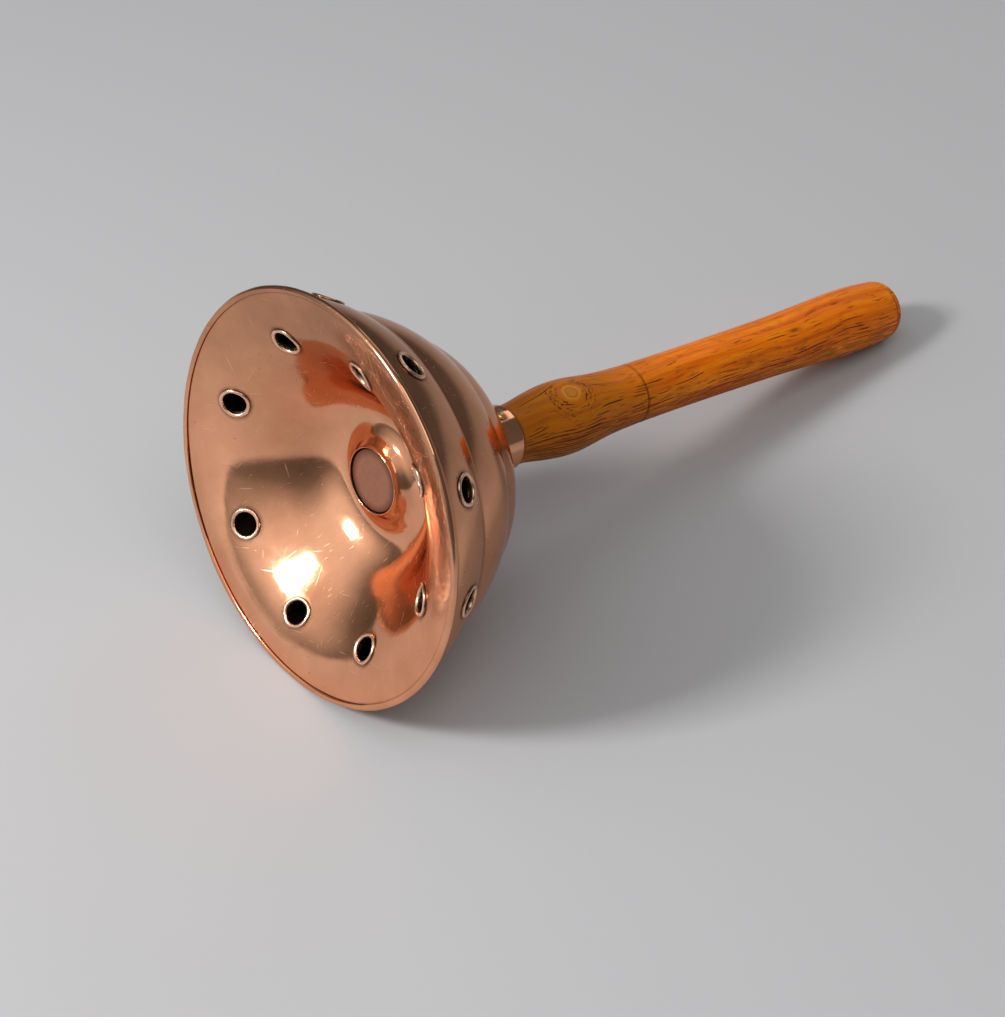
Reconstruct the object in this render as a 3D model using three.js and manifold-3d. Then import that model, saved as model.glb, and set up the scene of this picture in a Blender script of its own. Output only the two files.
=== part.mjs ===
// A copper laundry posser lying on its side, in millimetres, +Z up.
// It rests on its rim and on the end of its handle, with the handle towards +X.
// Every turned piece is drawn round the posser's own axis: z is 0 at the middle of the rim's folded
// edge and grows towards the end of the handle. The whole is then laid down.
import * as THREE from 'three';
import { mergeVertices } from 'three/addons/utils/BufferGeometryUtils.js';
import Module from 'manifold-3d';

// Sheet copper
const sheet = 0.7;
const clearance = 0.3;

// Rim: the shell's sheet is folded over the dish's edge and lies flat on its face.
const rimRadius = 76;
const lipWidth = 1.2;

// Outer shell: each station is so far in from the rim and so high above it, on the outside
const lowerBand = { inset: 6.5, height: 12.9 };
const lowerCrease = { inset: 12.9, height: 23 };
const upperBand = { inset: 18.4, height: 36 };
const upperCrease = { inset: 25.8, height: 46.2 };
const crown = { inset: 33, height: 55.8 };
const neckTop = 77.5;
const neckFlare = 2;

// Inner dish: each station is so far in from the rim and so deep, on the side that faces out
const flare = { inset: 10, depth: 1 };
const ventRing = { inset: 21.1, depth: 5.7 };
const throat = { inset: 34.5, depth: 17 };
const bowlFullness = 2.7;

// Boss in the middle of the dish. Its edge holds the centre disc and its side flares past the socket.
const bossRadius = 12.6;
const bossDepth = 26.4;
const bossHeight = 6.6;
const valleyWidth = 9.5;

// Centre disc
const discRecess = 0.6;
const discThickness = 1.6;

// Eyelets
const eyeletBore = 4.5;
const eyeletWall = 0.5;
const eyeletLip = 1;
const eyeletHeight = 0.8;
const innerVents = 8;
const innerVentPhase = 8.4;
const outerVents = 10;
const outerVentPhase = 20.7;
// The holes were marked out by hand, so some stand a few degrees off an even division.
const innerVentDrift = [-1.5, -5.3, -0.3, 3.2, 1.6, -0.7, 0.8, 2];
const outerVentDrift = [0, 0, 3.5, 0, -1.4, 0.4, 1.8, -0.9, 0, 0];

// Handle socket
const socketRadius = 12.5;
const socketWall = 1;
const collarHeight = 11;

// Handle: its length beyond the collar and the radius at each station.
// The first three stations are measured from the collar, the others from the handle's end.
const handleLength = 223.2;
const handleNeck = { radius: 11.8, from: 6.2 };
const handleSwell = { radius: 14.5, from: 28.7 };
const handleWaist = { radius: 11.9, from: 63.2 };
const handleShaft = { radius: 12.3, before: 77 };
const handleGrip = { radius: 14, before: 30 };
const handleEnd = { radius: 13.1, before: 8.2 };
const endLine = { width: 1, depth: 0.5 };
const endDome = 7;
const scribeFrom = 65.7;
const scribeDepth = 0.5;
const scribeWidth = 1.4;

// Nails
const nailHead = 1.7;
const nailHeadHeight = 1.1;
const nailShank = 0.8;
const nailLength = 7;
const nailDrop = 5.7;
const nailAngles = [192, 12];

// Smoothness
const headSides = 42;
const tubeSides = 28;
const eyeletSides = 12;
const nailSides = 8;

const copper = { color: 0xb8725a, roughness: 0.22, metalness: 1 };
const dullCopper = { color: 0x9a6a5c, roughness: 0.42, metalness: 1 };
const eyeletCopper = { color: 0xd9a07c, roughness: 0.25, metalness: 1 };
const brass = { color: 0xc9a14f, roughness: 0.3, metalness: 1 };
const wood = { color: 0x8a4c12, roughness: 0.4, metalness: 0 };

const wasm = await Module();
wasm.setup();

const axis = new THREE.Vector3(0, 0, 1);
const point = (radius, height) => new THREE.Vector2(radius, height);

// Turns a closed outline, or one that starts and ends on the axis, round +Z.
// A flat side, not an edge, faces the lowest line of the lying posser.
function turned(outline, sides) {
  const step = (Math.PI * 2) / sides;
  const geometry = new THREE.LatheGeometry(outline, sides, Math.PI / 2 + step / 2);
  return geometry.rotateX(Math.PI / 2);
}

// Points on a smooth curve through a few stations, without the first one.
function smooth(stations, steps) {
  return new THREE.SplineCurve(stations).getPoints(steps).slice(1);
}

// Points on the round arc that passes through three points, without the first one.
function arcThrough(start, middle, end, steps) {
  const a = middle.clone().sub(start);
  const b = end.clone().sub(start);
  const scale = 2 * a.cross(b);
  const toCentre = point(
    (b.y * a.lengthSq() - a.y * b.lengthSq()) / scale,
    (a.x * b.lengthSq() - b.x * a.lengthSq()) / scale,
  );
  const centre = start.clone().add(toCentre);
  const first = start.clone().sub(centre).angle();
  let turn = end.clone().sub(centre).angle() - first;
  if (turn > Math.PI) turn -= Math.PI * 2;
  if (turn < -Math.PI) turn += Math.PI * 2;
  const points = [];
  for (let i = 1; i <= steps; i += 1) {
    const angle = first + (turn * i) / steps;
    points.push(point(Math.cos(angle), Math.sin(angle)).multiplyScalar(toCentre.length()).add(centre));
  }
  return points;
}

// The far side of a sheet whose near side follows the path, with the sheet to the path's left.
function offset(path, thickness) {
  const last = path.length - 1;
  const along = (i) => path[i + 1].clone().sub(path[i]).normalize();
  return path.map((here, i) => {
    const into = along(Math.max(i - 1, 0));
    const out = along(Math.min(i, last - 1));
    const normal = point(-into.y - out.y, into.x + out.x).normalize();
    return here.clone().addScaledVector(normal, thickness / normal.dot(point(-into.y, into.x)));
  });
}

// A sheet of even thickness as a closed outline.
function sheetOutline(path, thickness) {
  const outline = [...path, ...offset(path, thickness).reverse()];
  outline.push(outline[0].clone());
  return outline;
}

function toSolid(geometry) {
  const bare = geometry.clone();
  bare.deleteAttribute('normal');
  bare.deleteAttribute('uv');
  const merged = mergeVertices(bare);
  return new wasm.Manifold(new wasm.Mesh({
    numProp: 3,
    vertProperties: new Float32Array(merged.attributes.position.array),
    triVerts: new Uint32Array(merged.index.array),
  }));
}

function cut(geometry, cutters) {
  const solid = cutters.reduce((left, cutter) => left.subtract(toSolid(cutter)), toSolid(geometry));
  const mesh = solid.getMesh();
  const result = new THREE.BufferGeometry();
  result.setAttribute('position', new THREE.BufferAttribute(mesh.vertProperties, 3));
  result.setIndex(new THREE.BufferAttribute(mesh.triVerts, 1));
  result.computeVertexNormals();
  return result;
}

// A round cutter along its own +Z, moved to a place on a wall.
function drill(radius, length, sides, place) {
  return new THREE.CylinderGeometry(radius, radius, length, sides).rotateX(Math.PI / 2).applyMatrix4(place);
}

// A place on a turned wall whose +Z leaves the wall along the given slope.
function wallPlace(spot, slope, angle) {
  const turn = THREE.MathUtils.degToRad(angle);
  const place = new THREE.Object3D();
  const normal = new THREE.Vector3(slope.y, 0, -slope.x).normalize().applyAxisAngle(axis, turn);
  place.position.set(spot.x, 0, spot.y).applyAxisAngle(axis, turn);
  place.quaternion.setFromUnitVectors(axis, normal);
  place.updateMatrix();
  return place.matrix;
}

const laid = new THREE.Group();
const number = (i) => String(i + 1).padStart(2, '0');

function add(name, geometry, finish, place) {
  const mesh = new THREE.Mesh(geometry, new THREE.MeshStandardMaterial(finish));
  mesh.name = name;
  if (place) mesh.applyMatrix4(place);
  laid.add(mesh);
}

// Folded edge of the rim
const hemRadius = 1.5 * sheet + clearance;
const hemCentre = rimRadius - hemRadius;
const lipInner = hemCentre - lipWidth;
const hemTurn = 4;
const station = (s) => point(rimRadius - s.inset, s.height ?? s.depth);

// The shell's outside, from the folded lip round the edge and up to the neck
const collarRadius = socketRadius + clearance + sheet;
function shellPath() {
  const path = [point(lipInner, -hemRadius), point(hemCentre, -hemRadius)];
  for (let i = 1; i <= hemTurn; i += 1) {
    const angle = (Math.PI * i) / hemTurn - Math.PI / 2;
    path.push(point(hemCentre + hemRadius * Math.cos(angle), hemRadius * Math.sin(angle)));
  }
  const foot = point(hemCentre - sheet, hemRadius + sheet);
  const neck = point(collarRadius, neckTop);
  const crease = station(lowerCrease);
  const shoulder = station(upperCrease);
  path.push(foot, ...arcThrough(foot, station(lowerBand), crease, 4));
  path.push(...arcThrough(crease, station(upperBand), shoulder, 4));
  path.push(...smooth([
    shoulder,
    station(crown),
    station(crown).lerp(neck, 0.5),
    neck.clone().add(point(neckFlare, -3 * neckFlare)),
    neck,
  ], 8));
  return path;
}

// The disc lies in the boss's mouth, and the socket stands behind the disc.
const discRadius = bossRadius - sheet - clearance;
const discFace = bossDepth + discRecess;
const discBack = discFace + discThickness;
const socketFoot = discBack + clearance;

// The dish's face, from the lip of the boss out to its flat edge in the fold
function dishPath() {
  const lip = point(bossRadius, bossDepth);
  const hip = point(collarRadius + clearance, socketFoot);
  const valley = point(collarRadius + valleyWidth, bossDepth + bossHeight);
  const flange = point(lipInner + sheet, -sheet / 2);
  const edge = point(hemCentre + clearance, flange.y);
  return [lip, ...smooth([
    lip,
    hip,
    point(THREE.MathUtils.lerp(hip.x, valley.x, 0.3), THREE.MathUtils.lerp(hip.y, valley.y, 0.68)),
    valley,
    valley.clone().lerp(station(throat), 0.45).add(point(0, bowlFullness)),
    station(throat),
    station(ventRing),
    station(flare),
    flange,
  ], 16), edge];
}

// A ring of vents: the slope is the wall's own where the ring's circle meets it.
function ventPlaces(path, ring, count, phase, drift) {
  const spot = station(ring);
  const distance = (p) => p.distanceTo(spot);
  const nearest = path.reduce((best, p, i) => (distance(p) < distance(path[best]) ? i : best), 1);
  const slope = path[nearest + 1].clone().sub(path[nearest - 1]);
  return Array.from({ length: count }, (_, i) => {
    const angle = phase + (360 / count) * i + (drift[i] ?? 0);
    return wallPlace(spot, slope, angle);
  });
}

// A rolled ring through the sheet. Its two seats clear a wall of the ring's roundness.
function eyelet(ring) {
  const barrel = eyeletBore + eyeletWall;
  const lip = barrel + eyeletLip;
  const seat = clearance + (lip * lip) / (2 * station(ring).x);
  const back = -sheet - seat;
  const outline = [
    point(eyeletBore, back - eyeletWall),
    point(lip - eyeletWall, back - eyeletWall),
    point(lip - eyeletWall, back),
    point(barrel, back),
    point(barrel, seat),
    point(lip, seat),
    point(barrel, seat + eyeletHeight),
    point(eyeletBore, seat + eyeletHeight * 0.4),
  ];
  outline.push(outline[0].clone());
  return turned(outline, eyeletSides);
}

// A skin of the head with its ring of drilled vents, and an eyelet in each
function skin(name, eyeletName, path, ring, count, phase, drift) {
  const places = ventPlaces(path, ring, count, phase, drift);
  const holeRadius = eyeletBore + eyeletWall + clearance;
  const drills = places.map((place) => drill(holeRadius, 8 * sheet, eyeletSides, place));
  add(name, cut(turned(sheetOutline(path, sheet), headSides), drills), copper);
  places.forEach((place, i) => add(`${eyeletName}_${number(i)}`, eyelet(ring), eyeletCopper, place));
}

skin('outer_shell', 'outer_eyelet', shellPath(), lowerBand, outerVents, outerVentPhase, outerVentDrift);
skin('inner_dish', 'inner_eyelet', dishPath(), ventRing, innerVents, innerVentPhase, innerVentDrift);

add('centre_disc', turned([
  point(0, discFace),
  point(discRadius - sheet, discFace),
  point(discRadius, discFace + sheet / 2),
  point(discRadius, discBack),
  point(0, discBack),
], tubeSides), dullCopper);

// Socket, from behind the disc up through the neck. Its mouth is the collar round the handle.
const collarTop = neckTop + collarHeight;
const upright = point(0, 1);
const nailSpot = point(socketRadius, collarTop - nailDrop);
const nailPlaces = nailAngles.map((angle) => wallPlace(nailSpot, upright, angle));
const nailDrills = nailPlaces.map((place) => drill(nailShank + clearance, 2 * nailLength, nailSides, place));
const socketOutline = sheetOutline([
  point(socketRadius, socketFoot),
  point(socketRadius, collarTop - socketWall / 3),
  point(socketRadius - socketWall / 3, collarTop),
], socketWall);
add('handle_socket', cut(turned(socketOutline, tubeSides), nailDrills), copper);

// Handle: a tenon in the socket, then the turned grip
const tenonRadius = socketRadius - socketWall - clearance;
const tenonFoot = socketFoot + clearance;
const shoulder = collarTop + clearance;
const handleTop = shoulder + handleLength;
const turning = (s) => point(s.radius, s.from === undefined ? handleTop - s.before : shoulder + s.from);
const shaft = new THREE.SplineCurve([
  point(tenonRadius + clearance, shoulder),
  ...[handleNeck, handleSwell, handleWaist, handleShaft, handleGrip, handleEnd].map(turning),
]).getPoints(18);

// The scribed line goes into the shaft's outline in place of the points that it covers.
const scribeAt = shoulder + scribeFrom;
const plain = shaft.filter((p) => Math.abs(p.y - scribeAt) > scribeWidth);
const after = plain.findIndex((p) => p.y > scribeAt);
const [low, high] = [plain[after - 1], plain[after]];
const scribeRadius = THREE.MathUtils.mapLinear(scribeAt, low.y, high.y, low.x, high.x);
const scribe = [
  point(scribeRadius, scribeAt - scribeWidth / 2),
  point(scribeRadius - scribeDepth, scribeAt),
  point(scribeRadius, scribeAt + scribeWidth / 2),
];

// The handle's end is a turned line and a dome.
const domeBase = handleTop - endDome;
const domeRadius = handleEnd.radius - endLine.depth / 2;
const endCap = [
  point(domeRadius, domeBase - endLine.width),
  point(domeRadius - endLine.depth, domeBase - endLine.width / 2),
  ...[0, 25, 45, 65].map((degrees) => {
    const angle = THREE.MathUtils.degToRad(degrees);
    return point(domeRadius * Math.cos(angle), domeBase + endDome * Math.sin(angle));
  }),
];
const handleOutline = [
  point(0, tenonFoot),
  point(tenonRadius - 2 * clearance, tenonFoot),
  point(tenonRadius, tenonFoot + 4 * clearance),
  point(tenonRadius, shoulder),
  ...plain.slice(0, after),
  ...scribe,
  ...plain.slice(after),
  ...endCap,
  point(0, handleTop),
];
add('handle', cut(turned(handleOutline, tubeSides), nailDrills), wood);

// Round-headed nails through the collar
const nailOutline = [
  point(0, -nailLength),
  point(nailShank, -nailLength + 2 * nailShank),
  point(nailShank, clearance),
  point(nailHead, clearance),
  point(nailHead * 0.85, clearance + nailHeadHeight * 0.6),
  point(nailHead * 0.45, clearance + nailHeadHeight * 0.93),
  point(0, clearance + nailHeadHeight),
];
nailPlaces.forEach((place, i) => add(`brass_nail_${number(i)}`, turned(nailOutline, nailSides), brass, place));

// Laying the posser down: its lowest flats, on the rim and near the handle's end, share one level.
const rimFlat = rimRadius * Math.cos(Math.PI / headSides);
const handleFlat = Math.cos(Math.PI / tubeSides);
const tilts = handleOutline.map((p) => Math.atan2(rimFlat - p.x * handleFlat, p.y));
laid.rotation.y = Math.PI / 2 + Math.min(...tilts);

const posser = new THREE.Group();
posser.add(laid);
const box = new THREE.Box3().setFromObject(posser, true);
const middle = box.getCenter(new THREE.Vector3());
laid.position.set(-middle.x, -middle.y, -box.min.z);

export default posser;
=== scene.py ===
"""Looks of the copper laundry posser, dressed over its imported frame."""

import math

import bpy
import numpy as np
from mathutils import Matrix, Vector, noise


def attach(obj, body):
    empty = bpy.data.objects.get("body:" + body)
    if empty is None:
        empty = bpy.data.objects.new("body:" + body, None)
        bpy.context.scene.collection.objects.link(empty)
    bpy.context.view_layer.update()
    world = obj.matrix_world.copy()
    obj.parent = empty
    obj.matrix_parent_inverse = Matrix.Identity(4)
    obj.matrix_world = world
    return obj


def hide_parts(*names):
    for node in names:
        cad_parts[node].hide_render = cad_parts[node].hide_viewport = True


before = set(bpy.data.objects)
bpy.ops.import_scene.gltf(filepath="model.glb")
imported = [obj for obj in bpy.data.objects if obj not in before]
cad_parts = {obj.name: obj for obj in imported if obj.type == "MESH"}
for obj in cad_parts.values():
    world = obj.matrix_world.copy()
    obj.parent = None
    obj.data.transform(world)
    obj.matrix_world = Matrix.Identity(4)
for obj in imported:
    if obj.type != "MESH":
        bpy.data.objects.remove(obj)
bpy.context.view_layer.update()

# The posser's own frame, in millimetres
# z runs from the rim to the end of the handle, and angle 0 is the posser's lowest line as it lies.
TILT = math.radians(11.673939)
ORIGIN = (-0.1448056, 0.0, 0.0742198)
LAID = Matrix.Translation(ORIGIN) @ Matrix.Rotation(math.pi / 2 + TILT, 4, "Y")
TURN = np.array(LAID.to_3x3())
PLACE = np.array(LAID.translation)

# Driving sizes
# The solids have 42 flat sides round the head and 28 round the tube. The round pieces stay inside them.
HEAD_FLAT = math.cos(math.pi / 42)
TUBE_FLAT = math.cos(math.pi / 28)
SHEET = 0.7
HEAD_RADIUS = 76
RIM = HEAD_RADIUS * HEAD_FLAT
HEM = 1.5 * SHEET + 0.26
HOLE = 5.15
OUTER_VENT = (69.5, 12.9)
INNER_VENT = (54.9, 5.7)
SOCKET = 12.5 * TUBE_FLAT
COLLAR_TOP = 88.5
NAIL_HOLE = 1.15
NAIL_AT = 82.8
NAIL_ANGLES = [math.radians(192), math.radians(12)]
DISC_RADIUS = 11.72
DISC_FACE, DISC_BACK = 27.0, 28.55
SHOULDER = COLLAR_TOP + 0.3
HANDLE_LENGTH = 223.2
DOME_TOP = SHOULDER + HANDLE_LENGTH - 0.05
SCRIBED_LINE = SHOULDER + 65.7
END_LINE = 304.5
DOME_FOOT = (12.82, 305)
KNOT_AT, KNOT_DEGREES = 117, 196


# Curves and soft shapes

def catmull(stations, steps):
    """A smooth curve through the stations."""
    stations = np.array(stations, float)
    last = len(stations) - 1
    points = []
    for i in range(last):
        p0, p1 = stations[max(i - 1, 0)], stations[i]
        p2, p3 = stations[i + 1], stations[min(i + 2, last)]
        for u in np.arange(steps) / steps:
            points.append(0.5 * (2 * p1 + (p2 - p0) * u + (2 * p0 - 5 * p1 + 4 * p2 - p3) * u * u
                                 + (3 * p1 - p0 - 3 * p2 + p3) * u ** 3))
    points.append(stations[last])
    return np.array(points)


def arc(start, middle, end, steps):
    """The round arc through three points."""
    start, middle, end = (np.array(p, float) for p in (start, middle, end))
    a, b = middle - start, end - start
    scale = 2 * (a[0] * b[1] - a[1] * b[0])
    centre = start + np.array([b[1] * (a @ a) - a[1] * (b @ b), a[0] * (b @ b) - b[0] * (a @ a)]) / scale
    first = math.atan2(*(start - centre)[::-1])
    turn = apart(math.atan2(*(end - centre)[::-1]), first)
    angles = first + turn * np.arange(steps + 1) / steps
    radius = np.linalg.norm(start - centre)
    return centre + radius * np.stack([np.cos(angles), np.sin(angles)], 1)


def evenly(path, step):
    """The path resampled to an even spacing, with its ends kept."""
    path = np.array(path, float)
    keep = np.r_[True, np.linalg.norm(np.diff(path, axis=0), axis=1) > 1e-6]
    path = path[keep]
    along = lengths(path)
    count = max(2, int(round(along[-1] / step)))
    at = np.linspace(0, along[-1], count + 1)
    return np.stack([np.interp(at, along, path[:, 0]), np.interp(at, along, path[:, 1])], 1)


def lengths(path):
    """How far along the path each of its points lies."""
    return np.r_[0, np.cumsum(np.linalg.norm(np.diff(path, axis=0), axis=1))]


def apart(angle, at):
    """The angle counted from another one, at most half a turn either way."""
    return (angle - at + np.pi) % (2 * np.pi) - np.pi


def hump(x, at, spread):
    """1 at a place, and 0 well away from it."""
    return np.exp(-((x - at) / spread) ** 2)


def rise(x, start, length):
    """0 up to a place, and 1 from a length beyond it."""
    return np.clip((x - start) / length, 0, 1)


def ovals(rows, angle, r, z):
    """Soft oval marks on a turned surface, each (height, degrees, length, width, strength)."""
    total = 0
    for at_z, degrees, length, width, strength in rows:
        u = apart(angle, math.radians(degrees)) * r
        total = total + strength * np.exp(-((u / width) ** 2 + ((z - at_z) / length) ** 2))
    return total


def rough(x, y, z, scale, seed):
    """Smooth noise from -1 to 1 at a scale in millimetres."""
    return noise.noise(Vector((x / scale + seed, y / scale - seed, z / scale + 2 * seed)))


def waves(angle, r, z, size, scale, seed):
    """Slow unevenness of a turned surface, of a size and scale in millimetres."""
    x, y = r * np.cos(angle), r * np.sin(angle)
    spots = zip(np.ravel(x), np.ravel(y), np.ravel(np.broadcast_to(z, np.shape(x))))
    return size * np.reshape([rough(*spot, scale, seed) for spot in spots], np.shape(x))


# Meshes

HEAD_SIDES, SOCKET_SIDES, HANDLE_SIDES, DISC_SIDES, RING_SIDES, NAIL_SIDES = 384, 192, 176, 128, 56, 32


def show(name, data):
    """A new object of the scene."""
    thing = bpy.data.objects.new(name, data)
    bpy.context.scene.collection.objects.link(thing)
    return thing


def make(name, points, faces, material, nodes, marks):
    """A mesh from points in the posser's own frame, with marks for its material."""
    points = np.asarray(points, float)
    world = points @ TURN.T / 1000 + PLACE
    mesh = bpy.data.meshes.new(name)
    mesh.from_pydata(world.tolist(), [], faces)
    mesh.update()
    for key, array in {"own": points, **marks}.items():
        array = np.asarray(array, np.float32)
        kind, field = ("FLOAT", "value") if array.ndim == 1 else ("FLOAT_VECTOR", "vector")
        mesh.attributes.new(key, kind, "POINT").data.foreach_set(field, array.ravel())
    mesh.polygons.foreach_set("use_smooth", [True] * len(mesh.polygons))
    mesh.materials.append(material)
    thing = show(name, mesh)
    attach(thing, "root")
    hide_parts(*nodes)
    return thing


def grid_faces(rows, columns, closed_rows=False):
    """Quads of a turned surface. Their normals lie to the right of the path."""
    faces = []
    for i in range(rows if closed_rows else rows - 1):
        below = (i + 1) % rows
        for j in range(columns):
            k = (j + 1) % columns
            faces.append((i * columns + j, i * columns + k, below * columns + k, below * columns + j))
    return faces


class Skin:
    """A turned sheet with dents, and with holes that rings or nails fill."""

    def __init__(self, path, sides, dents, hole_radius, station, angles):
        """The path gives radius and height, and the holes lie round one station of it."""
        self.path, self.sides, self.dents, self.hole_radius = path, sides, dents, hole_radius
        self.s = lengths(path)
        slope = np.gradient(path, axis=0)
        slope /= np.linalg.norm(slope, axis=1)[:, None]
        self.normal = np.stack([slope[:, 1], -slope[:, 0]], 1)
        self.holes = [(self.find(station), angle) for angle in angles]

    def find(self, station):
        """Where along the path the station lies."""
        return self.s[np.argmin(np.linalg.norm(self.path - np.array(station), axis=1))]

    def radius(self, s):
        return np.interp(s, self.s, self.path[:, 0])

    def at(self, s, angle, height):
        """The point at a height over the dented sheet."""
        r, z = self.radius(s), np.interp(s, self.s, self.path[:, 1])
        nr, nz = (np.interp(s, self.s, part) for part in self.normal.T)
        height = height + self.dents(s, angle, r, z)
        r, z = r + nr * height, z + nz * height
        return np.stack([r * np.cos(angle), r * np.sin(angle), z], -1)

    def build(self, name, node, grime_and_shade, pitted=None):
        """The sheet with its round holes. Every point in a hole moves out to the hole's edge."""
        rows, columns = len(self.path), self.sides
        s, angle = np.meshgrid(self.s, 2 * np.pi * np.arange(columns) / columns, indexing="ij")
        s, angle = s.ravel(), angle.ravel()
        radius = self.radius(s)
        inside = np.zeros(len(s), bool)
        nearest = np.full(len(s), np.inf)
        for at_s, at_angle in self.holes:
            v = s - at_s
            u = apart(angle, at_angle) * radius
            away = np.hypot(u, v)
            nearest = np.minimum(nearest, away)
            within = away < self.hole_radius
            inside |= within
            grow = np.where(within, self.hole_radius / np.maximum(away, 0.5), 1)
            angle = np.where(within, at_angle + u * grow / radius, angle)
            s = np.where(within, at_s + v * grow, s)
        faces = [f for f in grid_faces(rows, columns) if not all(inside[k] for k in f)]
        used = np.unique(np.array(faces))
        renumber = np.full(len(s), -1)
        renumber[used] = np.arange(len(used))
        faces = [tuple(int(renumber[k]) for k in f) for f in faces]
        s, angle = s[used], angle[used]
        # painted shade, with some dirt, darkens the sheet round each ring
        dirt_and_shade_reach, dirt_and_shade_fade = 2.25, 1.9
        marks = {
            "ring": np.clip((self.hole_radius + dirt_and_shade_reach - nearest[used]) / dirt_and_shade_fade, 0, 1),
            # painted shade in the hollows and under the hem, and darker lines on the collar
            "grime_and_shade": grime_and_shade(s),
            "along": s,
            "pitted": pitted(angle, self.radius(s)) if pitted else 0 * s,
        }
        thing = make(name, self.at(s, angle, 0), faces, sheet_copper, [node], marks)
        solid = thing.modifiers.new("sheet", "SOLIDIFY")
        solid.thickness = SHEET / 1000
        solid.offset = -1
        solid.use_even_offset = True
        solid.material_offset = 1
        thing.data.materials.append(back_copper_and_shade)

    def ring(self, name, node, hole, outline, seed):
        """A rolled ring set in a hole. Its outline gives radius and height over the sheet."""
        bore_edge, crown_foot = 4.7, 0.3
        at_s, at_angle = hole
        flow = np.random.default_rng(seed)
        lean, phase = flow.uniform(0.02, 0.05), flow.uniform(0, 2 * np.pi)
        points, radii = [], []
        for r, h in outline:
            for a in 2 * np.pi * np.arange(RING_SIDES) / RING_SIDES:
                # a clinched ring is never quite round or even in height
                uneven = lean * 0.5 * math.cos(2 * a + phase) + 0.012 * math.sin(5 * a + seed)
                wide = r * (1 + (uneven if r > bore_edge else 0.5 * uneven))
                v, u = wide * math.cos(a), wide * math.sin(a)
                high = h + (2.8 * lean * math.cos(a + phase) if h > crown_foot else 0)
                points.append(self.at(at_s + v, at_angle + u / self.radius(at_s + v), high))
                radii.append(r)
        faces = [f[::-1] for f in grid_faces(len(outline), RING_SIDES, closed_rows=True)]
        make(name, points, faces, ring_copper, [node], {"radius": radii})


def turned(name, outline, sides, material, node, shift=None, marks=None):
    """A solid turned round the axis from an outline that starts and ends on it."""
    inner = outline[1:-1]
    angles = 2 * np.pi * np.arange(sides) / sides
    points = [(r * math.cos(a), r * math.sin(a), z, a) for r, z in inner for a in angles]
    first, last = len(points), len(points) + 1
    points += [(0.0, 0.0, outline[0][1], 0.0), (0.0, 0.0, outline[-1][1], 0.0)]
    points = np.array([shift(*point) if shift else point[:3] for point in points])
    faces = grid_faces(len(inner), sides)
    end = (len(inner) - 1) * sides
    for j in range(sides):
        k = (j + 1) % sides
        faces.append((first, k, j))
        faces.append((last, end + j, end + k))
    make(name, points, faces, material, [node], marks(points) if marks else {})


# Materials. Noise scales are in waves per millimetre, bump distances in metres.

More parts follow.
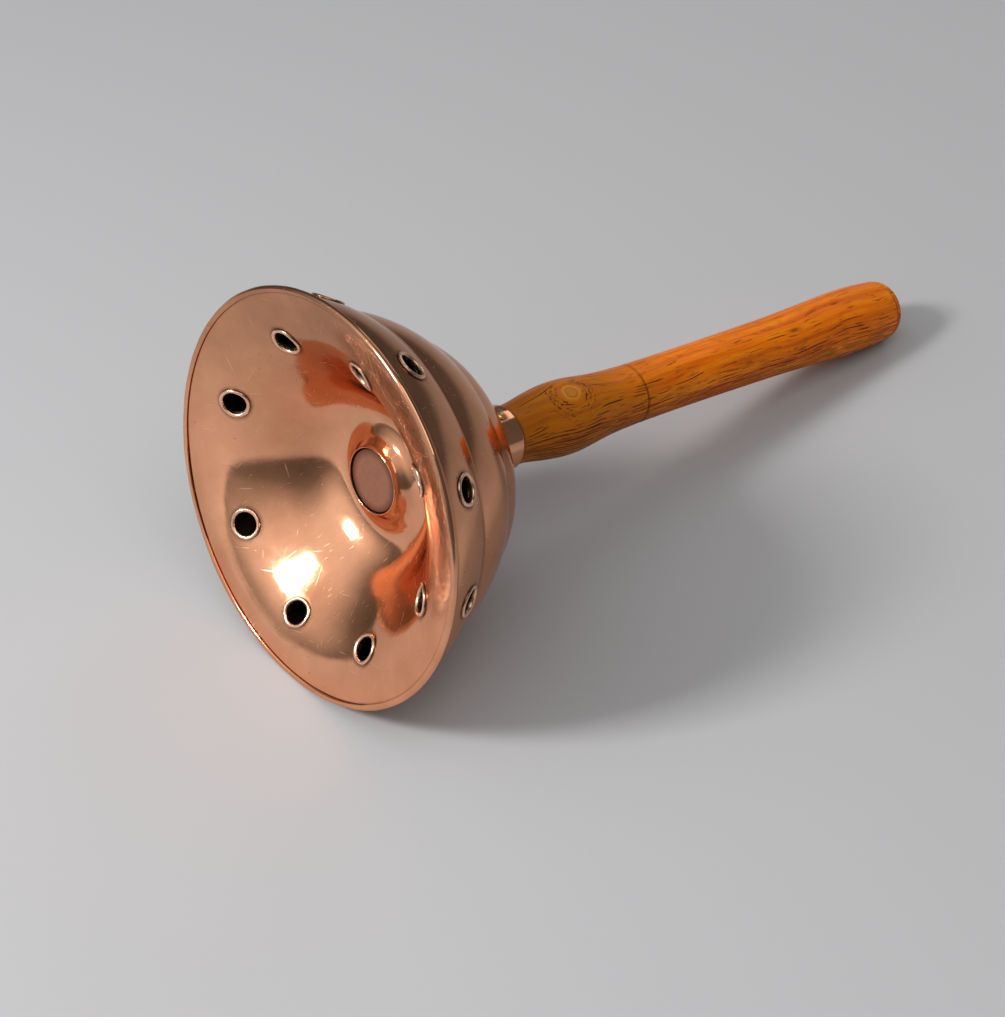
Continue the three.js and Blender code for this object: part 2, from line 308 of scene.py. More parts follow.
class Nodes:
    """Short names for building the nodes of a material or of the world."""

    def __init__(self, owner):
        owner.use_nodes = True
        self.owner = owner
        self.tree = owner.node_tree
        self.shader = self.tree.nodes.get("Principled BSDF")

    def add(self, kind, **settings):
        node = self.tree.nodes.new(kind)
        for key, value in settings.items():
            setattr(node, key, value)
        return node

    def link(self, source, target):
        self.tree.links.new(source, target)

    def put(self, value, socket):
        if isinstance(value, bpy.types.NodeSocket):
            self.link(value, socket)
        else:
            socket.default_value = value

    def attribute(self, name, output="Fac"):
        return self.add("ShaderNodeAttribute", attribute_name=name).outputs[output]

    def maths(self, operation, a, b=0.0, c=0.0, clamp=False):
        node = self.add("ShaderNodeMath", operation=operation, use_clamp=clamp)
        for value, socket in zip((a, b, c), node.inputs):
            self.put(value, socket)
        return node.outputs[0]

    def times(self, first, *others):
        """The product of two values or more."""
        for other in others:
            first = self.maths("MULTIPLY", first, other)
        return first

    def squared(self, value, unit):
        """The square of a length counted in the unit."""
        counted = self.maths("DIVIDE", value, unit)
        return self.times(counted, counted)

    def dot(self, vector, way):
        node = self.add("ShaderNodeVectorMath", operation="DOT_PRODUCT")
        self.link(vector, node.inputs[0])
        node.inputs[1].default_value = way
        return node.outputs["Value"]

    def length(self, vector):
        node = self.add("ShaderNodeVectorMath", operation="LENGTH")
        self.link(vector, node.inputs[0])
        return node.outputs["Value"]

    def place(self, *parts):
        """A vector from up to three values."""
        node = self.add("ShaderNodeCombineXYZ")
        for value, socket in zip(parts, node.inputs):
            self.put(value, socket)
        return node.outputs[0]

    def scaled(self, vector, scale, turn=(0, 0, 0)):
        node = self.add("ShaderNodeMapping")
        self.link(vector, node.inputs["Vector"])
        node.inputs["Scale"].default_value = scale
        node.inputs["Rotation"].default_value = turn
        return node.outputs[0]

    def noise(self, vector, scale, detail, roughness, distortion=0.0):
        node = self.add("ShaderNodeTexNoise")
        self.link(vector, node.inputs["Vector"])
        node.inputs["Scale"].default_value = scale
        node.inputs["Detail"].default_value = detail
        node.inputs["Roughness"].default_value = roughness
        node.inputs["Distortion"].default_value = distortion
        return node.outputs["Fac"]

    def spots(self, vector, scale):
        """How far a place is from the nearest of many scattered spots, in spacings."""
        node = self.add("ShaderNodeTexVoronoi")
        self.link(vector, node.inputs["Vector"])
        node.inputs["Scale"].default_value = scale
        return node.outputs["Distance"]

    def stripes(self, value, scale):
        """How far a value is from the nearest of many unevenly spaced lines, in spacings."""
        node = self.add("ShaderNodeTexVoronoi", voronoi_dimensions="1D", feature="DISTANCE_TO_EDGE")
        self.link(value, node.inputs["W"])
        node.inputs["Scale"].default_value = scale
        return node.outputs["Distance"]

    def ramp(self, value, *stops):
        """Colours or greys at places from 0 to 1."""
        node = self.add("ShaderNodeValToRGB")
        self.put(value, node.inputs["Fac"])
        elements = node.color_ramp.elements
        while len(elements) < len(stops):
            elements.new(1.0)
        for element, (place, colour) in zip(elements, stops):
            element.position = place
            element.color = (*((colour,) * 3 if isinstance(colour, (int, float)) else colour), 1)
        return node.outputs["Color"]

    def mix(self, factor, a, b):
        node = self.add("ShaderNodeMix", data_type="RGBA")
        self.put(factor, node.inputs[0])
        for value, socket in ((a, node.inputs[6]), (b, node.inputs[7])):
            self.put((*value, 1) if isinstance(value, tuple) else value, socket)
        return node.outputs[2]

    def surface(self, colour, roughness, metallic, *bumps):
        """The finished material. Each bump is (height, distance, strength) and lies on the one before."""
        normal = None
        for height, distance, strength in bumps:
            node = self.add("ShaderNodeBump")
            self.put(height, node.inputs["Height"])
            node.inputs["Distance"].default_value = distance
            node.inputs["Strength"].default_value = strength
            if normal is not None:
                self.link(normal, node.inputs["Normal"])
            normal = node.outputs["Normal"]
        self.link(colour, self.shader.inputs["Base Color"])
        self.link(roughness, self.shader.inputs["Roughness"])
        self.link(normal, self.shader.inputs["Normal"])
        self.shader.inputs["Metallic"].default_value = metallic
        return self.owner


def polished_copper():
    """Polished old copper: spinning lines, fine scratches, pits and brown tarnish in patches, with painted
    shade in the creases, under the hem and round the rings, and a painted dark reflection on the upper
    side.
    """
    light, deep = (0.93, 0.45, 0.26), (0.50, 0.17, 0.07)
    dull, dark_reflection_copper = tuple(c * 0.82 for c in light), tuple(c * 0.45 for c in light)
    dirt_and_shade_brown, speck_brown, pit_brown = (0.07, 0.028, 0.016), (0.10, 0.04, 0.022), (0.13, 0.05, 0.03)
    scratch_pink = (1.0, 0.62, 0.42)
    n = Nodes(bpy.data.materials.new("polished copper"))
    own, pitted = n.attribute("own", "Vector"), n.attribute("pitted")
    cloud = n.noise(own, 0.035, 4, 0.6)
    small = n.noise(own, 0.35, 4, 0.65)
    # painted dark reflection: the upper side, as the posser lies, is darkened in patches
    up = n.maths("DIVIDE", n.maths("SUBTRACT", HEAD_RADIUS, n.dot(own, (1, 0, 0))), 2 * HEAD_RADIUS)
    dark_reflection = n.times(n.ramp(up, (0.42, 0.0), (0.95, 1.0)), n.ramp(cloud, (0.30, 0.60), (0.60, 0.85)))
    # brown tarnish in patches, with painted shade in the creases, at the neck and under the hem
    tarnish_and_shade = n.maths("ADD", n.ramp(cloud, (0.35, 0.0), (0.75, 0.55)), n.attribute("grime_and_shade"), clamp=True)
    # dirt and painted shade round each ring
    ring_dirt_and_shade = n.times(n.attribute("ring"), n.ramp(small, (0.25, 0.5), (0.6, 1.0)))
    specks = n.ramp(n.spots(own, 0.16), (0.0, 1.0), (0.035, 0.8), (0.05, 0.0))
    scratch = 0.0
    for turn, scale in ((0.5, 1.1), (1.9, 0.9), (2.7, 1.3)):
        lines = n.noise(n.scaled(n.scaled(own, (1, 1, 1), (0, 0, turn)), (0.05, 1.9, 0.15)), scale, 2, 0.5)
        scratch = n.maths("MAXIMUM", n.ramp(lines, (0.715, 0.0), (0.74, 1.0)), scratch)
    pits = n.times(pitted, n.ramp(n.noise(own, 1.0, 4, 0.75), (0.42, 1.0), (0.55, 0.0)))
    colour = n.mix(tarnish_and_shade, light, deep)
    for share, other in (
        (n.ramp(small, (0.3, 0.0), (0.8, 0.35)), dull),
        (dark_reflection, dark_reflection_copper),
        (ring_dirt_and_shade, dirt_and_shade_brown),
        (n.times(specks, 0.75), speck_brown),
        (n.times(scratch, 0.35), scratch_pink),
        (n.times(pitted, 0.65), deep),
        (n.times(pits, 0.7), pit_brown),
    ):
        colour = n.mix(share, colour, other)
    smear = n.noise(n.scaled(own, (1, 1, 0.25), (0.4, 0.9, 0.2)), 0.12, 5, 0.7, 0.6)
    roughness = n.ramp(smear, (0.3, 0.06), (0.75, 0.17))
    for mark, more in ((ring_dirt_and_shade, 0.3), (pitted, 0.14), (scratch, 0.22), (specks, 0.3)):
        roughness = n.maths("MULTIPLY_ADD", mark, more, roughness, clamp=True)
    n.shader.inputs["Specular Tint"].default_value = (0.92, 0.78, 0.70, 1)
    return n.surface(
        colour, roughness, 1.0,
        (scratch, -0.00002, 0.3),
        (n.noise(n.place(n.attribute("along")), 1.9, 3, 0.7), 0.00002, 0.45),
        (small, 0.00008, 0.30),
        (specks, -0.00006, 0.8),
        (n.times(n.noise(own, 1.3, 5, 0.8), pitted), 0.003, 1.0),
    )


def unpolished_shaded_copper():
    """The side of the sheet that nobody polishes: brown and dull, and nearly black as painted shade inside
    the head.
    """
    # painted shade: browns near black, so the inside shows dark through the vents and rings
    brown, dark_brown = (0.055, 0.024, 0.016), (0.022, 0.013, 0.011)
    n = Nodes(bpy.data.materials.new("unpolished shaded copper"))
    own = n.attribute("own", "Vector")
    cloud = n.noise(own, 0.12, 5, 0.6)
    colour = n.mix(cloud, brown, dark_brown)
    roughness = n.ramp(cloud, (0.3, 0.55), (0.7, 0.75))
    return n.surface(colour, roughness, 0.5, (n.noise(own, 0.9, 3, 0.6), 0.0001, 0.5))


def satin_copper():
    """The worn centre disc, with fine turning lines."""
    light, deep, edge_brown = (0.56, 0.25, 0.155), (0.38, 0.165, 0.105), (0.10, 0.04, 0.025)
    n = Nodes(bpy.data.materials.new("satin copper"))
    own = n.attribute("own", "Vector")
    cloud = n.noise(own, 0.22, 5, 0.65)
    edge = n.ramp(n.attribute("edge"), (0.72, 0.0), (1.0, 0.85))
    colour = n.mix(edge, n.mix(cloud, light, deep), edge_brown)
    roughness = n.ramp(cloud, (0.3, 0.24), (0.75, 0.42))
    turning = n.noise(n.place(n.length(n.scaled(own, (1, 1, 0)))), 2.4, 3, 0.7)
    fine = n.noise(own, 1.6, 4, 0.7)
    return n.surface(colour, roughness, 1.0, (turning, 0.00004, 0.4), (fine, 0.00006, 0.25))


def eyelet_copper():
    """Bright rolled rings: worn crowns, with painted shade at their roots and in the bore."""
    pink, yellow, root_shade_brown = (0.90, 0.56, 0.42), (0.84, 0.55, 0.36), (0.16, 0.07, 0.035)
    widest = 6.0
    n = Nodes(bpy.data.materials.new("eyelet copper"))
    own = n.attribute("own", "Vector")
    fine = n.noise(own, 1.3, 4, 0.65)
    out = n.maths("DIVIDE", n.attribute("radius"), widest)
    # painted shade: dark in the bore and at the outer foot, where the ring meets the sheet
    root = n.ramp(out, (0.0, 0.75), (0.735, 0.45), (0.77, 0.0), (0.93, 0.0), (0.98, 0.8))
    root = n.times(root, n.ramp(fine, (0.2, 0.6), (0.6, 1.0)))
    colour = n.mix(root, n.mix(n.noise(own, 0.28, 3, 0.6), pink, yellow), root_shade_brown)
    return n.surface(colour, n.ramp(fine, (0.3, 0.16), (0.75, 0.36)), 1.0, (fine, 0.00012, 0.45))


def worn_brass():
    """Nail heads."""
    bright, dull = (0.90, 0.64, 0.23), (0.55, 0.33, 0.10)
    n = Nodes(bpy.data.materials.new("worn brass"))
    fine = n.noise(n.attribute("own", "Vector"), 1.8, 4, 0.65)
    colour = n.mix(n.ramp(fine, (0.35, 0.0), (0.7, 1.0)), bright, dull)
    return n.surface(colour, n.ramp(fine, (0.3, 0.2), (0.75, 0.4)), 1.0, (fine, 0.00010, 0.4))


def varnished_wood():
    """Old varnish over an open grain of thin dark lines, which part round a knot."""
    honey_bands = (0.30, (0.66, 0.110, 0.002)), (0.50, (0.96, 0.215, 0.003)), (0.70, (1.0, 0.31, 0.005))
    vein_red, blotch_brown, head_shade_brown = (0.50, 0.075, 0.002), (0.42, 0.080, 0.003), (0.27, 0.100, 0.006)
    line_black, nick_black = (0.075, 0.011, 0.002), (0.045, 0.012, 0.004)
    check_black = (0.045, 0.012, 0.003)
    knot_rings = (
        (0.0, (0.56, 0.205, 0.010)), (0.09, (0.46, 0.160, 0.008)), (0.17, (0.52, 0.185, 0.009)),
        (0.235, (0.36, 0.105, 0.005)), (0.28, (0.66, 0.245, 0.014)), (0.36, (0.58, 0.205, 0.012)),
    )
    radius, head_reach, eye_reach, check_reach, check_gap, check_spacing = 14, 300, 10, 16, 8, 0.85
    n = Nodes(bpy.data.materials.new("varnished wood"))
    own, grain = n.attribute("own", "Vector"), n.attribute("grain", "Vector")
    # places counted from the knot: across and along the handle, and out of it
    knot = math.radians(KNOT_DEGREES)
    across = n.dot(own, (-math.sin(knot), math.cos(knot), 0))
    front = n.dot(own, (math.cos(knot), math.sin(knot), 0))
    height = n.dot(own, (0, 0, 1))
    along = n.maths("SUBTRACT", height, KNOT_AT)
    facing = n.ramp(n.maths("DIVIDE", front, radius), (0.0, 0.0), (0.5, 1.0))
    far = n.maths("ADD", n.squared(across, 7.5), n.squared(along, 9.5))
    near_knot = n.times(n.maths("EXPONENT", n.times(far, -1.0)), facing)
    # the grain runs along the handle in slow waves, and is pulled aside by the knot
    pull = n.times(across, near_knot, -0.85)
    wave = n.maths("MULTIPLY_ADD", n.noise(n.scaled(grain, (1, 1, 0.35)), 0.05, 2, 0.4), 11.0, pull)
    around = n.maths("ADD", n.attribute("around"), wave)
    bands = n.noise(n.place(around, n.times(height, 0.045)), 0.30, 3, 0.55)
    fine = n.noise(n.place(around, n.times(height, 0.035)), 1.7, 4, 0.62)
    blotch = n.noise(n.scaled(own, (1, 1, 0.5)), 0.045, 3, 0.5)
    colour = n.ramp(bands, *honey_bands)
    colour = n.mix(n.ramp(fine, (0.46, 0.0), (0.70, 0.34)), colour, vein_red)
    colour = n.mix(n.ramp(blotch, (0.42, 0.0), (0.75, 0.30)), colour, blotch_brown)
    # painted shade: the wood darkens towards the head
    head_shade = n.ramp(n.maths("DIVIDE", height, head_reach), (0.29, 1.0), (0.45, 0.80), (0.60, 0.0))
    colour = n.mix(n.times(head_shade, 0.66), colour, head_shade_brown)
    # thin dark lines, in three widths: many on the lower half, few on the upper
    low = n.maths("DIVIDE", n.dot(own, (0.62, -0.78, 0)), 2 * radius)
    low_half = n.ramp(low, (0.0, 0.0), (0.25, 0.45), (0.42, 1.0))
    dark = 0.0
    for spacing, length, deep, seed in ((1.9, 24, 0.95, 0), (1.25, 13, 0.75, 40), (0.8, 8, 0.5, 90)):
        shifted = n.maths("ADD", around, seed)
        away = n.stripes(shifted, 1 / spacing)
        line = n.ramp(away, (0.0, 1.0), (0.10 / spacing, 1.0), (0.27 / spacing, 0.0))
        cell = n.place(n.maths("DIVIDE", shifted, spacing), n.maths("DIVIDE", height, length))
        run = n.maths("MULTIPLY_ADD", low_half, 0.17, n.noise(cell, 1.0, 2, 0.5))
        dark = n.maths("MAXIMUM", n.times(line, n.ramp(run, (0.62, 0.0), (0.67, 1.0)), deep), dark)
    colour = n.mix(dark, colour, line_black)
    # the knot: an eye with a pale rim, and checks that curve round it
    uneven = n.maths("MULTIPLY_ADD", n.noise(own, 0.35, 3, 0.5), 1.6, -0.8)
    reach = n.maths("SQRT", n.maths("ADD", n.squared(across, 1.0), n.squared(along, 1.12)))
    eye = n.maths("ADD", reach, uneven)
    rings = n.maths("DIVIDE", eye, eye_reach)
    in_eye = n.times(n.ramp(rings, (0.36, 0.9), (0.42, 0.0)), facing)
    colour = n.mix(in_eye, colour, n.ramp(rings, *knot_rings))
    wander = n.maths("MULTIPLY_ADD", n.noise(own, 0.8, 2, 0.5), 2.0, eye)
    arcs = n.maths("DIVIDE", n.maths("PINGPONG", wander, check_spacing), check_spacing)
    checks = n.times(
        n.ramp(arcs, (0.0, 1.0), (0.24, 1.0), (0.40, 0.0)),
        n.ramp(n.maths("DIVIDE", eye, check_reach), (0.28, 0.0), (0.34, 1.0), (0.55, 0.9), (0.72, 0.0)),
        n.ramp(n.maths("DIVIDE", n.maths("ABSOLUTE", along), check_gap), (0.35, 0.0), (0.55, 1.0)),
        facing,
        n.ramp(n.noise(own, 0.55, 3, 0.6), (0.44, 0.0), (0.56, 1.0)),
    )
    colour = n.mix(n.times(checks, 0.9), colour, check_black)
    colour = n.mix(n.attribute("dark"), colour, nick_black)
    roughness = n.maths("MULTIPLY_ADD", dark, 0.2, n.ramp(blotch, (0.3, 0.32), (0.7, 0.44)))
    n.shader.inputs["Specular IOR Level"].default_value = 0.12
    return n.surface(
        colour, roughness, 0.0,
        (n.maths("MAXIMUM", dark, checks), -0.00030, 0.8),
        (fine, 0.00012, 0.35),
        (n.noise(own, 0.5, 3, 0.5), 0.0003, 0.2),
    )


sheet_copper = polished_copper()
back_copper_and_shade = unpolished_shaded_copper()
satin = satin_copper()
ring_copper = eyelet_copper()
nail_brass = worn_brass()
wood = varnished_wood()


# Vents

OUTER_PHASE, INNER_PHASE = 20.7, 8.4
OUTER_DRIFT = [0, 0, 3.5, 0, -1.4, 0.4, 1.8, -0.9, 0, 0]
INNER_DRIFT = [-1.5, -5.3, -0.3, 3.2, 1.6, -0.7, 0.8, 2]


def vent_angles(phase, drift):
    """Evenly divided angles, each of which drifts by some degrees."""
    return [math.radians(phase + 360 / len(drift) * i + more) for i, more in enumerate(drift)]


def dimples(holes, s, angle, r):
    """The sheet is drawn in a little where each ring is clinched."""
    depth, spread = 0.22, 5.2
    total = 0
    for at_s, at_angle in holes:
        u = apart(angle, at_angle) * r
        total = total - depth * np.exp(-(u ** 2 + (s - at_s) ** 2) / (2 * spread ** 2))
    return total


# Outer shell

hem_centre = RIM - HEM
half_round = np.linspace(-math.pi / 2, math.pi / 2, 13)
fold = [(hem_centre + HEM * math.cos(a), HEM * math.sin(a)) for a in half_round]
tuck = [(hem_centre - 1.32, -0.62), (hem_centre - 1.2, -0.86), (hem_centre - 0.8, -1.14), fold[0]]
foot = (hem_centre - SHEET, HEM + SHEET)
lower_crease, upper_crease, neck = (63.1, 23), (50.2, 46.2), (13.5, 77.5)
crown = [upper_crease, (43, 55.8), (28.25, 66.65), (15.5, 71.5), neck]
shell_path = np.vstack([
    evenly(catmull(tuck, 8), 0.2)[:-1],
    fold,
    evenly([fold[-1], foot], 0.5)[1:],
    evenly(arc(foot, OUTER_VENT, lower_crease, 60), 0.8)[1:],
    evenly(arc(lower_crease, (57.6, 36), upper_crease, 60), 0.8)[1:],
    evenly(catmull(crown, 20), 0.8)[1:],
])


def shell_dents(s, angle, r, z):
    """Slow dents over the bell, and a hem hammered a little unevenly."""
    bell = rise(z, 1.0, 6.0)
    slow = waves(angle, r, z, 0.16, 34, 3.1) + waves(angle, r, z, 0.03, 9, 8.7)
    hammered = 0.10 * (1 + waves(angle, r, 0, 1.0, 7, 5.3)) * (z > -1.3)
    return slow * bell - hammered * (1 - bell) + dimples(shell.holes, s, angle, r)


def shell_shade(s):
    """Painted shade in the creases, at the neck's root and behind the hem."""
    creases = hump(s, shell.find(lower_crease), 0.8) + hump(s, shell.find(upper_crease), 0.8)
    neck_root = rise(s, shell.find((17, 71)), 6)
    return np.clip(0.9 * creases + 0.6 * neck_root + 0.8 * hump(s, shell.find(foot), 0.9), 0, 1)


outer_angles = vent_angles(OUTER_PHASE, OUTER_DRIFT)
shell = Skin(shell_path, HEAD_SIDES, shell_dents, HOLE, OUTER_VENT, outer_angles)
shell.build("shell", "outer_shell", shell_shade)


# Inner dish

dish_lip = [(12.05, 26.62), (12.2, 26.44), (12.38, 26.42), (12.52, 26.55), (12.6, 26.85)]
dish_stations = [
    (12.65, 27.2), (13.9, 29.1), (16.6, 31.6), (23, 33), (31.3, 28.5), (41.5, 17),
    INNER_VENT, (66, 1), (74.0, -0.35),
]
dish_edge = [(74.4, -0.35), (74.8, -0.35)]
dish_path = np.vstack([dish_lip, evenly(catmull(dish_stations, 20), 0.75), dish_edge])
BEATEN_DEGREES, BEATEN_HALF, BEATEN_RADIUS, BEATEN_SPREAD = 228, 36, 67.5, 4.6


def beaten(angle, r):
    """A dented and pitted stretch of the dish by the rim."""
    turn = apart(angle, math.radians(BEATEN_DEGREES)) / math.radians(BEATEN_HALF)
    return np.exp(-turn ** 4) * hump(r, BEATEN_RADIUS, BEATEN_SPREAD)


def dish_dents(s, angle, r, z):
    """Slow dents between the boss and the rim, and small ones in the beaten stretch."""
    open_part = rise(r, 16, 8) * (1 - rise(r, 70, 3))
    slow = sum(waves(angle, r, z, *wave) for wave in ((0.17, 38, 1.3), (0.055, 15, 9.2), (0.02, 7, 6.1)))
    small = beaten(angle, r) * waves(angle, r, z, 0.20, 3.0, 4.4)
    return slow * open_part + small + dimples(dish.holes, s, angle, r)


def dish_shade(s):
    """Painted shade under the shell's hem, and darker on the boss's side."""
    under_hem = rise(s, dish.find((72.3, -0.2)), 1.2)
    return np.clip(0.9 * under_hem + 0.3 * hump(s, dish.find((15, 31)), 2.5), 0, 1)


inner_angles = vent_angles(INNER_PHASE, INNER_DRIFT)
dish = Skin(dish_path, HEAD_SIDES, dish_dents, HOLE, INNER_VENT, inner_angles)
dish.build("dish", "inner_dish", dish_shade, beaten)


# Eyelets

roll = [(HOLE + 0.78 * math.cos(a), 0.12 + 0.72 * math.sin(a)) for a in np.linspace(0, math.pi, 15)]
bore = [(4.35, -0.15), (4.35, -0.7), (4.42, -1.2)]
clinch = [(4.95 + 0.5 * math.cos(a), -1.2 + 0.42 * math.sin(a)) for a in np.linspace(-2.9, 0, 8)]
back = [(5.25, -0.85), (5.02, -0.75), (5.02, -0.35), (5.05, -0.05), (5.8, -0.04)]
ring_outline = roll + bore + clinch + back
for skin, side, seed in ((shell, "outer", 40), (dish, "inner", 70)):
    for i, hole in enumerate(skin.holes):
        number = f"{i + 1:02d}"
        skin.ring(f"{side}_ring_{number}", f"{side}_eyelet_{number}", hole, ring_outline, seed + i)


# Centre disc

FACE_RADIUS, FACE_HOLLOW = 11.0, 0.10
face_radii = np.linspace(1.0, FACE_RADIUS, 16)
disc_face = [(r, DISC_FACE - FACE_HOLLOW * (1 - (r / FACE_RADIUS) ** 2)) for r in face_radii]
disc_edge = [(11.35, 27.03), (11.6, 27.15), (11.7, 27.35), (DISC_RADIUS, 27.7), (DISC_RADIUS, 28.4),
             (11.5, DISC_BACK)]
disc_outline = [(0, DISC_FACE - FACE_HOLLOW), *disc_face, *disc_edge, (0, DISC_BACK)]
turned("disc", disc_outline[::-1], DISC_SIDES, satin, "centre_disc",
       marks=lambda points: {"edge": np.hypot(points[:, 0], points[:, 1]) / DISC_RADIUS})


# Socket, which shows as the collar

lip_start = COLLAR_TOP - 0.5
lip = [(SOCKET - 0.45 + 0.45 * math.cos(a), lip_start + 0.5 * math.sin(a)) for a in np.linspace(0, 1.9, 9)]
socket_path = np.vstack([evenly([(SOCKET, 29.5), (SOCKET, lip_start)], 0.8)[:-1], lip])


def socket_dents(s, angle, r, z):
    """Slow dents where the collar shows, and one small knock."""
    inset = 0.04
    showing = rise(z, 76, 3) * (1 - rise(z, COLLAR_TOP - 1.0, 1.2))
    knock = ovals([(85.1, 230, 0.7, 1.0, 0.35)], angle, r, z)
    return waves(angle, r, z, 0.10, 6, 2.2) * showing - inset - knock


def socket_darkening(s):
    """Darker where the collar leaves the neck and at its lip."""
    return np.clip(0.9 * hump(s, 48.6, 1.2) + 0.5 * rise(s, 58, 1.2), 0, 1)


socket = Skin(socket_path, SOCKET_SIDES, socket_dents, NAIL_HOLE, (SOCKET, NAIL_AT), NAIL_ANGLES)
socket.build("collar", "handle_socket", socket_darkening)


# Nails

nail_outline = [(0, -6.9), (0.5, -6.2), (0.75, -5.4), (0.78, -0.4), (0.8, 0.02), (1.62, 0.04), (1.68, 0.14),
                (1.6, 0.42), (1.42, 0.72), (1.12, 0.96), (0.75, 1.12), (0.35, 1.2), (0, 1.22)]


def nail_shift(angle):
    """Sets a nail square in the collar, with a head that is a little uneven."""
    out = np.array([math.cos(angle), math.sin(angle), 0.0])
    side = np.array([-math.sin(angle), math.cos(angle), 0.0])
    up = np.array([0.0, 0.0, 1.0])

    def shift(x, y, z, a):
        uneven = 0.05 * math.sin(3 * a) * (z > 0.1)
        return SOCKET * out + NAIL_AT * up + side * x + up * y + out * (z + uneven)
    return shift


for i, angle in enumerate(NAIL_ANGLES):
    number = f"{i + 1:02d}"
    turned(f"nail_{number}", nail_outline, NAIL_SIDES, nail_brass, f"brass_nail_{number}",
           nail_shift(angle))


# Handle

tenon = [(0, 30.2), (10.4, 30.2), (11.1, 31.2), (11.15, SHOULDER - 0.6)]
grip_end = (13.1, 303.8)
grip_stations = [(11.5, SHOULDER), (11.8, 95), (14.5, 117.5), (11.9, 152), (12.3, 234), (14, 281), grip_end]
grip = evenly(catmull(grip_stations, 30), 0.8)
turned_line = [grip_end, (12.95, 304.1), (12.5, 304.35), (12.36, END_LINE), (12.48, 304.7), DOME_FOOT]
dome_radius, dome_start = DOME_FOOT
dome_rise = DOME_TOP - dome_start
dome = [(dome_radius * math.cos(a), dome_start + dome_rise * math.sin(a)) for a in np.linspace(0, 1.5, 24)]
handle_outline = [*tenon, *grip, *evenly(catmull(turned_line, 6), 0.15)[1:], *dome[1:], (0, DOME_TOP)]
# height, degrees, length, width, and depth or strength
nicks = [(242, 214, 3.0, 0.7, 0.7), (270.6, 190, 2.4, 0.5, 0.4), (277, 208, 2.0, 0.5, 0.4)]
nick_dirt = [(242, 214, 3.0, 0.8, 0.7), (270.6, 190, 2.5, 0.5, 0.6), (277, 208, 2.0, 0.5, 0.6)]
knot_swell = [(KNOT_AT, KNOT_DEGREES, 7.0, 5.0, 0.22), (KNOT_AT, KNOT_DEGREES, 2.2, 1.4, -0.35)]


def scribed(angle):
    """The height of the scribed line, which wanders a little."""
    return SCRIBED_LINE + 0.25 * np.sin(angle)


def handle_shift(x, y, z, a):
    """The turned wood with its waviness, scribed line, nicks and knot, kept inside its solid."""
    inset = 0.06
    r = math.hypot(x, y)
    if r < 1e-6 or z < SHOULDER + 0.2:
        return x * TUBE_FLAT, y * TUBE_FLAT, z
    high = 0.10 * rough(x, y, z * 0.4, 16, 2.0) + 0.03 * rough(x, y, z * 0.12, 2.2, 5.0)
    high += ovals(knot_swell, a, r, z) - ovals(nicks, a, r, z) - 0.42 * hump(z, scribed(a), 0.45)
    scale = (r + (high if high < 0 else 0.4 * high) - inset) / r * TUBE_FLAT
    return x * scale, y * scale, z


def handle_marks(points):
    """Dirt in the lines and nicks, and the places that the grain is drawn by."""
    mean_radius = 12.5
    x, y, z = points.T
    a = np.arctan2(y, x)
    r = np.hypot(x, y)
    lines = 0.85 * hump(z, scribed(a), 0.42) + 0.9 * hump(z, END_LINE, 0.36)
    ends = 0.22 * rise(z, dome_start, 0.5) + 0.8 * (1 - rise(z, SHOULDER, 1.6))
    # the grain follows the turned shape, so its lines run on over the swellings
    even = r - 0.8 * (np.interp(z, grip[:, 1], grip[:, 0]) - mean_radius)
    end_grain = 0.9 * y + 0.04 * x * x
    return {
        "dark": np.clip(lines + ends + ovals(nick_dirt, a, r, z), 0, 1),
        "around": np.where(z > END_LINE + 0.1, end_grain, mean_radius * np.arctan2(-y, -x)),
        "grain": np.stack([even * np.cos(a), even * np.sin(a), z], 1),
    }


turned("grip", handle_outline, HANDLE_SIDES, wood, "handle", handle_shift, handle_marks)


# Floor

FLOOR_HALF = 6.0
corners = [(x * FLOOR_HALF, y * FLOOR_HALF, 0) for x, y in ((-1, -1), (1, -1), (1, 1), (-1, 1))]
floor_mesh = bpy.data.meshes.new("floor")
floor_mesh.from_pydata(corners, [], [(0, 1, 2, 3)])
pale = Nodes(bpy.data.materials.new("pale floor"))
pale.shader.inputs["Base Color"].default_value = (0.48, 0.48, 0.49, 1)
pale.shader.inputs["Roughness"].default_value = 0.9
floor_mesh.materials.append(pale.owner)
floor = show("floor", floor_mesh)


# Light: a dim room with a broad soft glow round the key lamp, and three square lamps

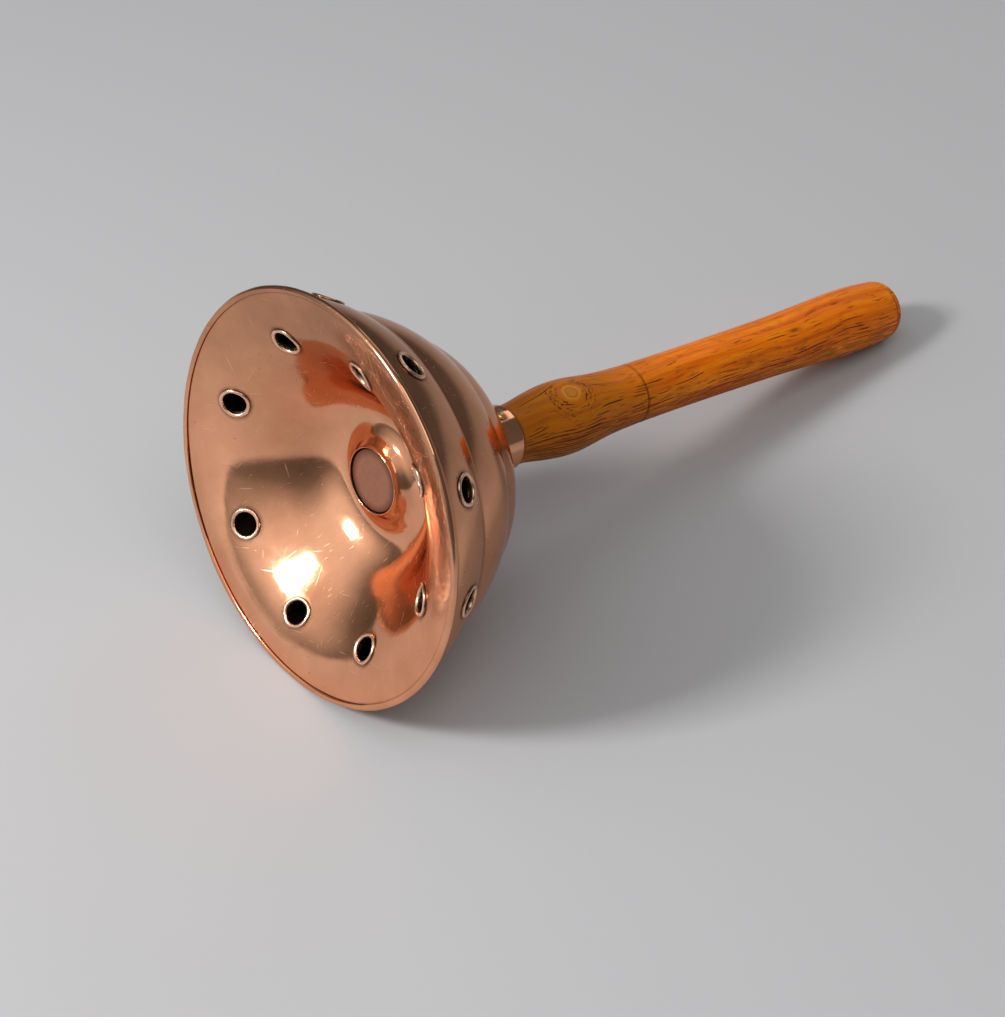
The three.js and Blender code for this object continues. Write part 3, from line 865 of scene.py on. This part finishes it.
LAMP_SIDE = (-0.68, 0.18, 0.71)
GLOW = ((0.0, 0.13), (0.42, 0.13), (0.60, 0.19), (0.74, 0.48), (0.88, 0.85), (1.0, 1.0))
HEAD_PLACE = Vector((-0.08, 0, 0.07))
bpy.context.scene.world = bpy.data.worlds.new("studio")
sky = Nodes(bpy.context.scene.world)
glow = sky.dot(sky.add("ShaderNodeTexCoord").outputs["Generated"], LAMP_SIDE)
background = sky.tree.nodes["Background"]
sky.link(sky.ramp(glow, *GLOW), background.inputs["Color"])
background.inputs["Strength"].default_value = 1.0


def soft_light(name, azimuth, elevation, distance, width, length, radiance):
    """A lamp that faces the head."""
    lamp = bpy.data.lights.new(name, "AREA")
    lamp.shape = "RECTANGLE"
    lamp.size, lamp.size_y = width, length
    lamp.energy = radiance * math.pi * width * length
    a, e = math.radians(azimuth), math.radians(elevation)
    way = Vector((math.cos(a) * math.cos(e), math.sin(a) * math.cos(e), math.sin(e)))
    thing = show(name, lamp)
    thing.location = HEAD_PLACE + way * distance
    thing.rotation_euler = way.to_track_quat("Z", "Y").to_euler()


soft_light("key", 163, 38, 1.4, 0.26, 0.30, 62)
soft_light("overhead", -100, 62, 1.6, 1.0, 1.0, 1.8)
soft_light("right side", 20, 35, 1.6, 0.7, 0.7, 1.3)


# Camera, solved from the photograph, with its focal length and height in the photograph's pixels

FOCAL_LENGTH, PHOTO_HEIGHT, SENSOR = 2200.81, 1017, 36
CAMERA_PLACE = (-0.4691, -0.47184, 0.57352)
RIGHT = Vector((0.75614, -0.6544, 0.00404))
DOWN = Vector((-0.43077, -0.50237, -0.7497))
AHEAD = Vector((0.49263, 0.56514, -0.66176))
camera_data = bpy.data.cameras.new("camera")
camera_data.lens = SENSOR * FOCAL_LENGTH / PHOTO_HEIGHT
camera = show("camera", camera_data)
axes = Matrix((RIGHT, -DOWN, -AHEAD)).transposed()
camera.matrix_world = Matrix.Translation(CAMERA_PLACE) @ axes.to_4x4()
bpy.context.scene.camera = camera
bpy.context.scene.view_settings.view_transform = "Standard"
